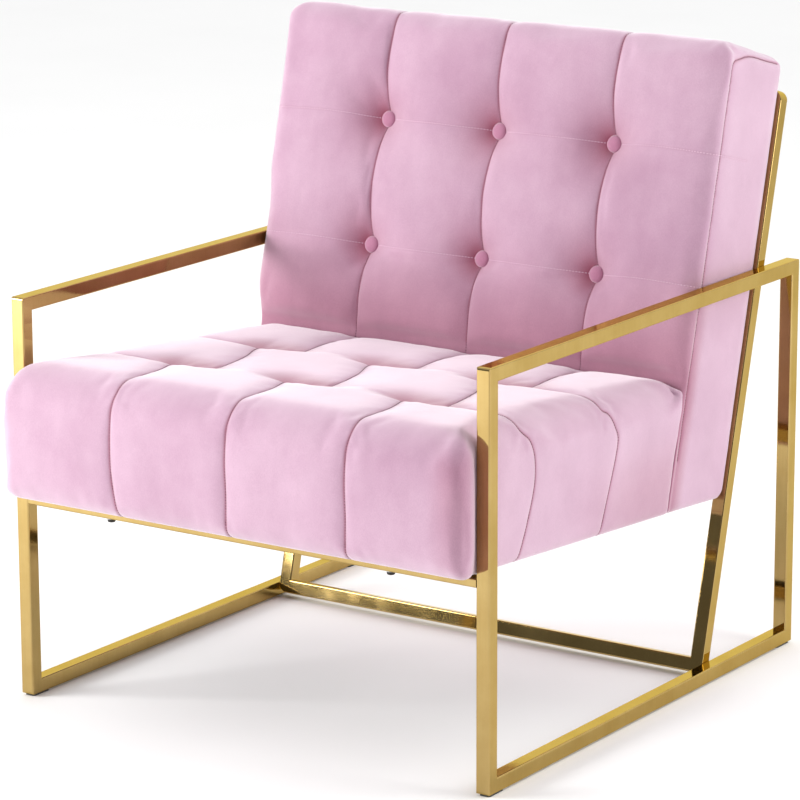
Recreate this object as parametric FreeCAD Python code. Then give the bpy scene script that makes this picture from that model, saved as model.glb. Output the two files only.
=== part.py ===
import FreeCAD, Part
import math
import os

from FreeCAD import Placement, Rotation, Vector

# Upholstered armchair on a metal tube frame. Millimetres, +Z up.
# +X is to the right of somebody looking at the chair's front, and +Y points to its back.
# The origin is on the floor, in the middle of the chair's outline seen from above.

# ---------------------------------------------------------------- driving dimensions

WIDTH = 760.0  # over the two side frames
SIDE_DEPTH = 795.0  # front to back of a side frame
SIDE_HEIGHT = 555.0  # underside of the runner to the top of the armrest
TUBE = 20.0  # square tube of the whole frame
WALL = 1.5
TUBE_EDGE_R = 2.0
SIDE_CORNER_R = 4.0  # outer corners of the side frames
GLIDE_THICK = 2.5
GLIDE_LENGTH = 34.0
GLIDE_WIDTH = 16.0

LEAN = 14.3  # degrees that the back leans from upright
LOOP_SETBACK = 227.0  # back of the side frames to the loop's front face, produced to the floor
LOOP_BOTTOM_EDGE = 9.2  # lower edge of the rear loop, measured up the lean
LOOP_LENGTH = 812.0
LOOP_CORNER_R = 16.0
REAR_RAIL_BOTTOM = 275.0  # hidden rail behind the back, measured up the lean

RAIL_HEIGHT = 12.0  # flat tube under the front of the seat
RAIL_TOP = 285.4

SEAT_OVERHANG = 43.5  # seat in front of the front posts
SEAT_TILT = 3.8  # degrees that the seat's underside drops to the rear
SEAT_FRONT_HEIGHT = 180.0
SEAT_TOP_DROP = 4.6  # degrees that the seat's top drops to the rear
BACK_DEPTH = 145.4  # thickness of the back
BACK_TOP_REAR = 864.0  # upper rear edge of the back, measured up the lean
BACK_TOP_DROP = 7.1  # degrees that the top of the back drops to the rear

COLUMN = 187.0  # spacing of the tufts and buttons across the chair
SEAT_TUFT_ROWS = (-240.0, -43.0)  # along Y
BUTTON_ROWS = (536.0, 716.0)  # measured up the lean
BUTTON_D = 22.0
BUTTON_RIM = 3.0
BUTTON_DOME = 4.5
BUTTON_DEPTH = 16.0  # how far the button's pocket reaches into the back
SEAT_TUFT_DEPTH = 12.0

# Corner radii in the side view: front low, front high, rear high, rear low.
SEAT_RADII = (20.0, 38.0, 6.0, 6.0)
BACK_RADII = (6.0, 22.0, 14.0, 22.0)
CUSHION_SIDE_R = 12.0

COVER = 3.0  # velvet with its wadding
FIT = 0.3  # clearance round each soft part
TIMBER = 22.0
TIMBER_HEIGHT = 45.0
DECK = 12.0
PANEL = 4.0
SKIRT = 12.0  # foam between the timber and the cover at the sides
MOUTH_MARGIN = 45.0  # how far the seat cover is turned under
MOUTH_REAR = 420.0
DUST_LAP = 12.0
DUST_THICK = 1.0

BOLT_R = 3.0  # M6
BOLT_HEAD_R = 5.5
BOLT_HEAD = 5.0
BOLT_HEAD_ROUND = 2.0
BOLT_KEY_R = 2.0
BOLT_KEY_DEPTH = 2.5
SEAT_BOLT_LENGTH = 30.0
BACK_BOLT_LENGTH = 36.0
CARCASS_BOLT_LENGTH = 50.0
INSERT_R = 4.5  # threaded inserts in the timber
INSERT_LENGTH = 13.0
HOLE_R = 3.4
WASHER_R = 7.0
WASHER = 1.2
TWINE_R = 1.0
TIE_WASHER_R = 14.0

SEAT_BOLT_X = 225.0
BACK_BOLT_X = 250.0

TOLERANCE = 1e-6  # for picking out edges by their length

# ---------------------------------------------------------------- derived places

HALF = WIDTH / 2
INNER = HALF - TUBE  # inner faces of the side frames
SOFT_HALF = INNER - FIT  # half width of the cushions
POST_FRONT = (SEAT_OVERHANG - SIDE_DEPTH) / 2
SEAT_FRONT = POST_FRONT - SEAT_OVERHANG
SIDE_REAR = POST_FRONT + SIDE_DEPTH
FOOT_Y = SIDE_REAR - LOOP_SETBACK
RAIL_REAR = POST_FRONT + TUBE
TIMBER_HALF = SOFT_HALF - COVER - SKIRT
COLUMNS = (-COLUMN, 0.0, COLUMN)

# Placement of things that lean with the back: local X across, local Y up the lean, local Z forwards
# out of the front face of the uprights.
LEAN_PLACE = Placement(Vector(0, FOOT_Y, 0), Rotation(Vector(1, 0, 0), 90 - LEAN))

# Placement of things that lie with the seat: local Y rearwards along its underside, local Z up.
SEAT_PLACE = Placement(
    Vector(0, RAIL_REAR, RAIL_TOP + FIT), Rotation(Vector(1, 0, 0), -SEAT_TILT)
)


def seat_point(y, z):
    """World point for a point of the seat's own side view."""
    return SEAT_PLACE.multVec(Vector(0, y, z))


def lean_point(up, forward):
    """World point for a point of the back's own side view."""
    return LEAN_PLACE.multVec(Vector(0, up, forward))


def meet(a, b, c, d):
    """Where the line a-b crosses the line c-d in the side view."""
    r = b - a
    s = d - c
    t = ((c.y - a.y) * s.z - (c.z - a.z) * s.y) / (r.y * s.z - r.z * s.y)
    return a + r * t


def box(x0, x1, y0, y1, z0, z1):
    return Part.makeBox(x1 - x0, y1 - y0, z1 - z0, Vector(x0, y0, z0))


def placed(shape, place):
    """A copy of the shape, moved from a local frame to the world."""
    moved = shape.copy()
    moved.Placement = place.multiply(moved.Placement)
    return moved


def prism(points, x0, x1):
    """Side view polygon, extruded across the chair from x0 to x1."""
    loop = [Vector(x0, p.y, p.z) for p in points]
    face = Part.Face(Part.makePolygon(loop + loop[:1]))
    return face.extrude(Vector(x1 - x0, 0, 0))


def rounded_outline(points, radii):
    """Closed wire through the points, each corner an arc tangent to its two sides."""
    count = len(points)
    ends = []
    arcs = []
    for i, corner in enumerate(points):
        before = (points[i - 1] - corner).normalize()
        after = (points[(i + 1) % count] - corner).normalize()
        half_angle = before.getAngle(after) / 2
        reach = radii[i] / math.tan(half_angle)
        centre_line = (before + after).normalize()
        middle = corner + centre_line * (radii[i] / math.sin(half_angle) - radii[i])
        start = corner + before * reach
        end = corner + after * reach
        ends.append((start, end))
        arcs.append(Part.Arc(start, middle, end).toShape())
    edges = []
    for i in range(count):
        edges.append(arcs[i])
        edges.append(Part.makeLine(ends[i][1], ends[(i + 1) % count][0]))
    return Part.Wire(edges)


def soft_block(outline, inset):
    """Cushion body: a side outline pulled in by inset and carried across the chair."""
    half = SOFT_HALF - inset
    wire = outline.makeOffset2D(-inset) if inset else outline
    wire = wire.translated(Vector(-half, 0, 0))
    body = Part.Face(wire).extrude(Vector(2 * half, 0, 0))
    rims = [e for e in body.Edges if abs(e.BoundBox.XLength) < TOLERANCE]
    return body.makeFillet(CUSHION_SIDE_R - inset, rims)


# ---------------------------------------------------------------- metal frame


def tube_between(u0, u1, v0, v1, along_u):
    """Square tube, solid, with rounded long edges, in the plane of a tube loop."""
    bar = box(u0, u1, v0, v1, 0, TUBE)
    span = u1 - u0 if along_u else v1 - v0
    longs = [e for e in bar.Edges if abs(e.Length - span) < TOLERANCE]
    return bar.makeFillet(TUBE_EDGE_R, longs)


def rounded_plate(u, v, r, inset):
    """Filled rectangle with rounded corners, as thick as the tube, inset all round."""
    plate = box(inset, u - inset, inset, v - inset, 0, TUBE)
    uprights = [e for e in plate.Edges if abs(e.BoundBox.ZLength - TUBE) < TOLERANCE]
    return plate.makeFillet(r - inset, uprights)


def mitred_loop(u, v, corner_r):
    """Four hollow tubes of a rectangular loop, mitred at 45 degrees where they meet."""
    reach = 1.25 * TUBE  # a little deeper than the tube, so that the mitre cuts right through
    corners = {
        "bottom": [(0, 0), (u, 0), (u - reach, reach), (reach, reach)],
        "top": [(0, v), (u, v), (u - reach, v - reach), (reach, v - reach)],
        "left": [(0, 0), (0, v), (reach, v - reach), (reach, reach)],
        "right": [(u, 0), (u, v), (u - reach, v - reach), (u - reach, reach)],
    }
    spans = {
        "bottom": (0, u, 0, TUBE, True),
        "top": (0, u, v - TUBE, v, True),
        "left": (0, TUBE, 0, v, False),
        "right": (u - TUBE, u, 0, v, False),
    }
    outside = rounded_plate(u, v, corner_r, 0)
    inside = rounded_plate(u, v, corner_r, WALL)
    tubes = {}
    for name, (u0, u1, v0, v1, along_u) in spans.items():
        bar = tube_between(u0, u1, v0, v1, along_u)
        channel = box(u0 + WALL, u1 - WALL, v0 + WALL, v1 - WALL, WALL, TUBE - WALL)
        loop = [Vector(a, b, 0) for a, b in corners[name]]
        wedge = Part.Face(Part.makePolygon(loop + loop[:1])).extrude(Vector(0, 0, TUBE))
        tubes[name] = bar.common(outside).common(wedge).cut(channel.common(inside))
    return tubes


def straight_tube(length, high, deep):
    """Open-ended rectangular tube along X, centred on X, from the origin up and back."""
    bar = box(-length / 2, length / 2, 0, deep, 0, high)
    longs = [e for e in bar.Edges if abs(e.Length - length) < TOLERANCE]
    hollow = box(-length, length, WALL, deep - WALL, WALL, high - WALL)
    return bar.makeFillet(TUBE_EDGE_R, longs).cut(hollow)


def rod(start, direction, radius, length):
    return Part.makeCylinder(radius, length, start, direction)


def side_frames(nodes):
    names = {"left": "front_post", "right": "rear_post", "top": "armrest", "bottom": "runner"}
    turn = Rotation(Vector(1, 1, 1), 120)  # loop plane to the YZ plane, thickness along X
    for side, x in (("left", -HALF), ("right", INNER)):
        place = Placement(Vector(x, POST_FRONT, GLIDE_THICK), turn)
        for part, tube in mitred_loop(SIDE_DEPTH, SIDE_HEIGHT, SIDE_CORNER_R).items():
            nodes[side + "_" + names[part]] = placed(tube, place)


def glides(nodes):
    """Thin pads under the ends of the runners."""
    for side, x in (("left", -HALF + TUBE / 2), ("right", HALF - TUBE / 2)):
        front = POST_FRONT + SIDE_CORNER_R
        rear = SIDE_REAR - SIDE_CORNER_R - GLIDE_LENGTH
        for end, y in (("front", front), ("rear", rear)):
            half = GLIDE_WIDTH / 2
            pad = box(x - half, x + half, y, y + GLIDE_LENGTH, 0, GLIDE_THICK)
            corners = [e for e in pad.Edges if abs(e.BoundBox.ZLength - GLIDE_THICK) < TOLERANCE]
            nodes[end + "_" + side + "_glide"] = pad.makeFillet(half / 2, corners)


def rear_frame(nodes):
    names = {
        "left": "rear_left_upright",
        "right": "rear_right_upright",
        "top": "rear_top_rail",
        "bottom": "rear_bottom_rail",
    }
    base = Placement(Vector(-INNER, LOOP_BOTTOM_EDGE, -TUBE), Rotation())
    place = LEAN_PLACE.multiply(base)
    for part, tube in mitred_loop(2 * INNER, LOOP_LENGTH, LOOP_CORNER_R).items():
        nodes[names[part]] = placed(tube, place)
    rail = straight_tube(2 * (INNER - TUBE), TUBE, TUBE)
    rail.translate(Vector(0, REAR_RAIL_BOTTOM, -TUBE))
    nodes["rear_seat_rail"] = placed(rail, LEAN_PLACE)


def front_rail(nodes):
    rail = straight_tube(2 * INNER, RAIL_HEIGHT, TUBE)
    rail.translate(Vector(0, POST_FRONT, RAIL_TOP - RAIL_HEIGHT))
    nodes["front_seat_rail"] = rail


# ---------------------------------------------------------------- side view of the soft parts


def seat_outline_points():
    """Sharp corners of the seat's side view: front low, front high, rear high, rear low."""
    bottom_front = seat_point(0, 0)
    bottom_rear = seat_point(1, 0)
    top_front = Vector(0, SEAT_FRONT, bottom_front.z + SEAT_FRONT_HEIGHT)
    top_rear = top_front + Vector(0, 1, -math.tan(math.radians(SEAT_TOP_DROP)))
    rear_low = lean_point(0, BACK_DEPTH + FIT)
    rear_high = lean_point(1, BACK_DEPTH + FIT)
    front_low = Vector(0, SEAT_FRONT, 0)
    front_high = Vector(0, SEAT_FRONT, 1)
    return [
        meet(front_low, front_high, bottom_front, bottom_rear),
        top_front,
        meet(top_front, top_rear, rear_low, rear_high),
        meet(rear_low, rear_high, bottom_front, bottom_rear),
    ]


def back_outline_points():
    """Sharp corners of the back's side view: front low, front high, rear high, rear low."""
    bottom_front = seat_point(0, 0)
    bottom_rear = seat_point(1, 0)
    top_rear = lean_point(BACK_TOP_REAR, FIT)
    top_front = top_rear + Vector(0, -1, math.tan(math.radians(BACK_TOP_DROP)))
    rear_low = lean_point(0, FIT)
    rear_high = lean_point(1, FIT)
    front_low = lean_point(0, BACK_DEPTH)
    front_high = lean_point(1, BACK_DEPTH)
    return [
        meet(front_low, front_high, bottom_front, bottom_rear),
        meet(front_low, front_high, top_rear, top_front),
        top_rear,
        meet(rear_low, rear_high, bottom_front, bottom_rear),
    ]


def seat_top_height(y):
    """Height of the seat's top above the floor at a distance along Y."""
    front = seat_point(0, 0).z + SEAT_FRONT_HEIGHT
    return front - (y - SEAT_FRONT) * math.tan(math.radians(SEAT_TOP_DROP))


def tuft_axis():
    return SEAT_PLACE.Rotation.multVec(Vector(0, 0, 1))


def button_axis():
    return LEAN_PLACE.Rotation.multVec(Vector(0, 0, 1))


def tuft_floor(x, y):
    """Bottom of a seat tuft, where its tie leaves the cover."""
    return Vector(x, y, seat_top_height(y) - SEAT_TUFT_DEPTH)


def button_floor(x, up):
    """Bottom of a button's pocket in the back."""
    return LEAN_PLACE.multVec(Vector(x, up, BACK_DEPTH - BUTTON_DEPTH))


def pockets(places, direction, radius, inset):
    """Round pockets that the tufts and buttons press into a cushion."""
    return [rod(p - direction * inset, direction, radius, POCKET_LENGTH) for p in places]


TUFTS = [tuft_floor(x, y) for y in SEAT_TUFT_ROWS for x in COLUMNS]
BUTTONS = [button_floor(x, up) for up in BUTTON_ROWS for x in COLUMNS]
POCKET_R = BUTTON_D / 2 + 3.0
POCKET_LENGTH = 60.0  # long enough to leave the cushion


def seat_body(inset):
    body = soft_block(rounded_outline(seat_outline_points(), SEAT_RADII), inset)
    return body.cut(pockets(TUFTS, tuft_axis(), POCKET_R + inset, inset))


def back_body(inset):
    body = soft_block(rounded_outline(back_outline_points(), BACK_RADII), inset)
    return body.cut(pockets(BUTTONS, button_axis(), POCKET_R + inset, inset))


# ---------------------------------------------------------------- timber carcass

CARCASS_LOW = COVER + 2 * FIT
CARCASS_HIGH = CARCASS_LOW + TIMBER_HEIGHT
DECK_HIGH = CARCASS_HIGH + DECK
CARCASS_FRONT = -TUBE - 10.0  # front face of the front batten, in the seat's own frame
FRONT_BATTEN_DEPTH = 40.0
RAIL_END_CHAMFER = 14.0  # lower rear corners of the seat's side rails
BACK_FRAME_LOW = 272.0
BACK_FRAME_HIGH = 838.0
BACK_FRAME_REAR = COVER + 4 * FIT
BACK_FRAME_FRONT = BACK_FRAME_REAR + TIMBER
STILE_OUT = TIMBER_HALF - TIMBER - FIT
STILE_IN = STILE_OUT - 30.0
CARCASS_BOLT_HEIGHTS = (279.0, 291.0)


def seat_profile(low, high, front, rear_forward, grow=0.0):
    """Side view of a seat timber: from front, back to a plane that leans with the back."""
    rear_a = lean_point(0, rear_forward - grow)
    rear_b = lean_point(1, rear_forward - grow)
    a = seat_point(front - grow, low - grow)
    b = seat_point(front - grow, high + grow)
    a_rear = meet(a, seat_point(front - grow + 1, low - grow), rear_a, rear_b)
    b_rear = meet(b, seat_point(front - grow + 1, high + grow), rear_a, rear_b)
    along = (a - a_rear).normalize() * RAIL_END_CHAMFER
    up = (b_rear - a_rear).normalize() * RAIL_END_CHAMFER
    return [a, b, b_rear, a_rear + up, a_rear + along]


def carcass_space():
    """Room that the timber base takes up inside the covers and the foam."""
    outline = seat_profile(CARCASS_LOW, DECK_HIGH, CARCASS_FRONT, BACK_FRAME_REAR, FIT)
    return prism(outline, -TIMBER_HALF - FIT, TIMBER_HALF + FIT)


def back_frame_space():
    """Room that the back's timber frame and panel take up."""
    room = box(
        -STILE_OUT - FIT,
        STILE_OUT + FIT,
        BACK_FRAME_LOW - FIT,
        BACK_FRAME_HIGH + FIT,
        BACK_FRAME_REAR - FIT,
        BACK_FRAME_FRONT + PANEL + FIT,
    )
    return placed(room, LEAN_PLACE)


def seat_carcass(nodes):
    rail = seat_profile(CARCASS_LOW, CARCASS_HIGH, CARCASS_FRONT, BACK_FRAME_REAR)
    nodes["seat_left_rail"] = prism(rail, -TIMBER_HALF, -TIMBER_HALF + TIMBER)
    nodes["seat_right_rail"] = prism(rail, TIMBER_HALF - TIMBER, TIMBER_HALF)
    inner = TIMBER_HALF - TIMBER
    low, high = CARCASS_LOW, CARCASS_HIGH
    deck_rear = SEAT_PLACE.inverse().multVec(seat_outline_points()[3]).y - COVER - FIT
    battens = {
        "seat_front_batten": (CARCASS_FRONT, CARCASS_FRONT + FRONT_BATTEN_DEPTH),
        "seat_rear_batten": (deck_rear - TIMBER, deck_rear),
    }
    for name, (front, rear) in battens.items():
        nodes[name] = placed(box(-inner, inner, front, rear, low, high), SEAT_PLACE)
    deck = box(-TIMBER_HALF, TIMBER_HALF, CARCASS_FRONT, deck_rear, high, DECK_HIGH)
    nodes["seat_deck"] = placed(deck, SEAT_PLACE)


def back_carcass(nodes):
    rear, front = BACK_FRAME_REAR, BACK_FRAME_FRONT
    low, high = BACK_FRAME_LOW, BACK_FRAME_HIGH
    pieces = {
        "back_left_stile": box(-STILE_OUT, -STILE_IN, low, high, rear, front),
        "back_right_stile": box(STILE_IN, STILE_OUT, low, high, rear, front),
        "back_bottom_batten": box(-STILE_IN, STILE_IN, low, low + TIMBER_HEIGHT, rear, front),
        "back_top_batten": box(-STILE_IN, STILE_IN, high - TIMBER_HEIGHT, high, rear, front),
        "back_panel": box(
            -STILE_OUT, STILE_OUT, low + TIMBER_HEIGHT + DECK, high, front, front + PANEL
        ),
    }
    for name, piece in pieces.items():
        nodes[name] = placed(piece, LEAN_PLACE)


# ---------------------------------------------------------------- soft parts


def soft_parts(nodes):
    room = carcass_space()
    frame_room = back_frame_space()
    foam_gap = COVER + FIT
    half = SOFT_HALF - MOUTH_MARGIN
    mouth = box(-half, half, MOUTH_MARGIN, MOUTH_REAR, -COVER, CARCASS_LOW)
    mouth = placed(mouth, SEAT_PLACE)
    nodes["seat_cover"] = seat_body(0).cut(seat_body(COVER)).cut(room).cut(mouth)
    nodes["seat_foam"] = seat_body(foam_gap).cut(room)
    nodes["back_cover"] = back_body(0).cut(back_body(COVER)).cut(room)
    nodes["back_foam"] = back_body(foam_gap).cut(room).cut(frame_room)
    sheet = box(
        -half - DUST_LAP,
        half + DUST_LAP,
        MOUTH_MARGIN - DUST_LAP,
        MOUTH_REAR + DUST_LAP,
        -DUST_THICK - FIT,
        -FIT,
    )
    nodes["seat_dust_cover"] = placed(sheet, SEAT_PLACE)


def back_buttons(nodes):
    """Covered buttons: a flattened dome on a short rim, sitting in its pocket."""
    r = BUTTON_D / 2
    ball_r = (r * r + BUTTON_DOME * BUTTON_DOME) / (2 * BUTTON_DOME)
    for i, floor in enumerate(BUTTONS):
        cap = Part.makeSphere(ball_r, Vector(0, 0, BUTTON_RIM + BUTTON_DOME - ball_r))
        cap = cap.common(Part.makeCylinder(r, ball_r, Vector(0, 0, BUTTON_RIM)))
        button = Part.makeCylinder(r, BUTTON_RIM).fuse(cap).removeSplitter()
        place = Placement(floor, LEAN_PLACE.Rotation)
        nodes["back_button_%d" % (i + 1)] = placed(button, place)


def ties(nodes):
    """Twine from each button and tuft to a washer behind the panel or under the deck."""
    back_length = BACK_DEPTH - BUTTON_DEPTH - BACK_FRAME_FRONT
    tie_ends = []  # top of the tie, its direction, its length and what it belongs to
    for top in TUFTS:
        length = SEAT_PLACE.inverse().multVec(top).z - CARCASS_HIGH
        tie_ends.append((top, tuft_axis(), length, "seat"))
    for top in BUTTONS:
        tie_ends.append((top, button_axis(), back_length, "back"))
    twine = {"seat": [], "back": []}
    holes = {"seat": [], "back": []}
    washers = []
    for top, axis, length, owner in tie_ends:
        foot = top - axis * length
        twine[owner].append(rod(foot, axis, TWINE_R, length))
        holes[owner].append(rod(foot, axis, TWINE_R, length + COVER))
        washers.append(rod(foot - axis * WASHER, axis, TIE_WASHER_R, WASHER))
    nodes["seat_tuft_twine"] = Part.makeCompound(twine["seat"])
    nodes["back_button_twine"] = Part.makeCompound(twine["back"])
    nodes["tie_washers"] = Part.makeCompound(washers)
    cut_from(nodes, ("seat_cover", "seat_foam", "seat_deck"), holes["seat"])
    cut_from(nodes, ("back_cover", "back_foam", "back_panel"), holes["back"])


def cut_from(nodes, names, cutters):
    for name in names:
        nodes[name] = nodes[name].cut(cutters)


# ---------------------------------------------------------------- fasteners


def button_head_bolt(start, axis, length):
    """Round-headed bolt with a key socket; start is where the head meets the shank."""
    top = start - axis * BOLT_HEAD
    head = rod(top, axis, BOLT_HEAD_R, BOLT_HEAD)
    circles = [e for e in head.Edges if e.isClosed()]
    outer = [e for e in circles if (e.CenterOfMass - top).Length < FIT]
    head = head.makeFillet(BOLT_HEAD_ROUND, outer)
    socket = rod(top, axis, BOLT_KEY_R, BOLT_KEY_DEPTH)
    return head.cut(socket).fuse(rod(start, axis, BOLT_R, length)).removeSplitter()


def bolts(nodes):
    """M6 bolts: up through the front rail, and forwards through the rails of the rear loop."""
    up = Vector(0, 0, 1)
    forward = button_axis()
    rail_low = RAIL_TOP - RAIL_HEIGHT
    seat = [Vector(x, POST_FRONT + TUBE / 2, rail_low) for x in (-SEAT_BOLT_X, SEAT_BOLT_X)]
    loop_top = LOOP_BOTTOM_EDGE + LOOP_LENGTH
    back = [
        LEAN_PLACE.multVec(Vector(x, height, -TUBE))
        for height in (REAR_RAIL_BOTTOM + TUBE / 2, loop_top - TUBE / 2)
        for x in (-BACK_BOLT_X, BACK_BOLT_X)
    ]
    batten_low = SEAT_PLACE.multVec(Vector(0, -TUBE / 2, CARCASS_LOW)).z
    seat_reach = batten_low + FIT - rail_low
    back_reach = TUBE + BACK_FRAME_REAR + FIT
    groups = [
        ("seat_bolts", seat, up, SEAT_BOLT_LENGTH, seat_reach),
        ("back_bolts", back, forward, BACK_BOLT_LENGTH, back_reach),
    ]
    washers = []
    inserts = []
    holes = []
    for name, places, axis, length, reach in groups:
        solids = []
        for place in places:
            start = place - axis * WASHER
            solids.append(button_head_bolt(start, axis, length))
            ring = rod(start, axis, WASHER_R, WASHER).cut(rod(start, axis, HOLE_R, WASHER))
            washers.append(ring)
            insert = rod(place + axis * reach, axis, INSERT_R, INSERT_LENGTH)
            inserts.append(insert.cut(rod(start, axis, BOLT_R, length)))
            holes.append(rod(start, axis, HOLE_R, reach + WASHER))
            holes.append(rod(place + axis * reach, axis, INSERT_R, INSERT_LENGTH + BOLT_R))
        nodes[name] = Part.makeCompound(solids)
    nodes["bolt_washers"] = Part.makeCompound(washers)
    nodes["threaded_inserts"] = Part.makeCompound(inserts)
    drilled = ("front_seat_rail", "seat_cover", "seat_foam", "seat_front_batten")
    drilled += ("rear_seat_rail", "rear_top_rail", "back_cover", "back_foam")
    drilled += ("back_bottom_batten", "back_top_batten")
    cut_from(nodes, drilled, holes)


def carcass_bolts(nodes):
    """Bolts that join the seat's side rails to the back's stiles, headed inside."""
    solids = []
    holes = []
    for side in (-1, 1):
        axis = Vector(side, 0, 0)
        for height in CARCASS_BOLT_HEIGHTS:
            middle = (BACK_FRAME_REAR + BACK_FRAME_FRONT) / 2
            start = LEAN_PLACE.multVec(Vector(side * STILE_IN, height, middle))
            solids.append(button_head_bolt(start, axis, CARCASS_BOLT_LENGTH))
            holes.append(rod(start, axis, BOLT_R, CARCASS_BOLT_LENGTH))
            holes.append(rod(start - axis * BOLT_HEAD, axis, BOLT_HEAD_R + FIT, BOLT_HEAD))
    nodes["carcass_bolts"] = Part.makeCompound(solids)
    joined = ("seat_left_rail", "seat_right_rail", "back_left_stile", "back_right_stile")
    cut_from(nodes, joined + ("back_bottom_batten",), holes)


def main():
    nodes = {}
    side_frames(nodes)
    glides(nodes)
    rear_frame(nodes)
    front_rail(nodes)
    seat_carcass(nodes)
    back_carcass(nodes)
    soft_parts(nodes)
    back_buttons(nodes)
    ties(nodes)
    bolts(nodes)
    carcass_bolts(nodes)
    os.makedirs("parts", exist_ok=True)
    for name, shape in nodes.items():
        shape.exportStep("parts/" + name + ".step")
    return nodes


if __name__ == "__main__":
    main()
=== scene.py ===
import math

import bpy
import numpy as np
from mathutils import Matrix, Vector, kdtree
from mathutils.bvhtree import BVHTree


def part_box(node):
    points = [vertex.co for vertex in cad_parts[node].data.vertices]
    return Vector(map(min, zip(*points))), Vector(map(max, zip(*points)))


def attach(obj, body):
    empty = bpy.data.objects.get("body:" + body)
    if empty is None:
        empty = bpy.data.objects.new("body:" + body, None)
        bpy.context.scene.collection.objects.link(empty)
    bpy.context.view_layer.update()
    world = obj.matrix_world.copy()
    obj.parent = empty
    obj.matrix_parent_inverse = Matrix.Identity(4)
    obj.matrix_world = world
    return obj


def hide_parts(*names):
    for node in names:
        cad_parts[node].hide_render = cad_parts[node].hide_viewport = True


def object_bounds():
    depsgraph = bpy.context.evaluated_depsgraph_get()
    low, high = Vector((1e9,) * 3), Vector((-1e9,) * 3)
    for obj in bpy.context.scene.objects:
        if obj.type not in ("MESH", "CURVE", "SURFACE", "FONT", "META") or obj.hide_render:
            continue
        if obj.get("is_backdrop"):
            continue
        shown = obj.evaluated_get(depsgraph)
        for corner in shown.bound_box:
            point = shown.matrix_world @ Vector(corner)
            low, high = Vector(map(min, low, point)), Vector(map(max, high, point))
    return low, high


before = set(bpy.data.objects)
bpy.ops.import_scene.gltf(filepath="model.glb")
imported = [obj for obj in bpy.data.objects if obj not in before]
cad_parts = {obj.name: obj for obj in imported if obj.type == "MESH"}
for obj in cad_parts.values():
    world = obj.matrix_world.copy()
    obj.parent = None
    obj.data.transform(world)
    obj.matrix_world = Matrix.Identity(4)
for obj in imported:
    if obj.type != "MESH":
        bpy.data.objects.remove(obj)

# Upholstered armchair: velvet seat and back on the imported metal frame.
# Metres, +Y to the back, +Z up.

CAD_LOW, CAD_HIGH = (v.copy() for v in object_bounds())
MM = 0.001

# ---------------------------------------------------------------- places taken from the frame

RAIL_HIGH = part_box("front_seat_rail")[1]
SIDE_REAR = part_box("right_rear_post")[1].y
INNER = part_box("right_front_post")[0].x  # inner faces of the side frames
POST_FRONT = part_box("right_front_post")[0].y
ARMREST_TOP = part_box("right_armrest")[1].z
SEAT_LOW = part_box("seat_cover")[0]

LEAN = math.radians(14.3)
FOOT_Y = SIDE_REAR - 227 * MM  # front face of the leaning loop, produced to the floor
COLUMNS = (-187 * MM, 0.0, 187 * MM)
TUFT_ROWS = (-240 * MM, -43 * MM)
BUTTON_ROWS = (536 * MM, 716 * MM)
CREASE = 26 * MM  # half length of a seat tuft's crease
SOFT_HALF = INNER - 2.2 * MM

UP_LEAN = np.array([0.0, math.sin(LEAN), math.cos(LEAN)])
FORWARD = np.array([0.0, -math.cos(LEAN), math.sin(LEAN)])
FOOT = np.array([0.0, FOOT_Y, 0.0])


def lean_point(x, up, forward):
    """A point given across, up the lean of the back, and forwards out of the loop."""
    return FOOT + np.array([x, 0.0, 0.0]) + UP_LEAN * up + FORWARD * forward


# ---------------------------------------------------------------- shaping helpers


def stations(low, high, marks, fine, coarse, reach):
    """Numbers from low to high that stand closer together near the marks."""
    t = np.linspace(low, high, 6001)
    near = np.min([np.abs(t - m) for m in marks], axis=0)
    step = fine + (coarse - fine) * np.clip((near - reach) / (2 * reach), 0, 1)
    work = np.concatenate([[0.0], np.cumsum(np.diff(t) / step[:-1])])
    count = int(round(work[-1]))
    return np.interp(np.linspace(0, work[-1], count + 1), work, t)


def unit(v):
    return v / np.linalg.norm(v)


def rounded_edge(start, end, before, after, r_start, r_end, share):
    """Points along one side of a rounded outline, at these shares of its length."""
    length = np.linalg.norm(end - start)
    out = np.zeros((len(share), 2))
    corners = (
        (start, before, end, r_start, share * length),
        (end, after, start, r_end, (1 - share) * length),
    )
    out[:] = start + np.outer(share, end - start)
    for corner, other, far, r, along in corners:
        e1, e2 = unit(other - corner), unit(far - corner)
        theta = math.acos(float(e1 @ e2))
        reach = r / math.tan(theta / 2)
        centre = corner + unit(e1 + e2) * r / math.sin(theta / 2)
        middle = -unit(e1 + e2)
        touch = unit(corner + e2 * reach - centre)
        beta = (math.pi - theta) / 2
        for i in np.nonzero(along < reach)[0]:
            phi = beta * along[i] / reach
            way = (middle * math.sin(beta - phi) + touch * math.sin(phi)) / math.sin(beta)
            out[i] = centre + r * way
    return out


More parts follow.
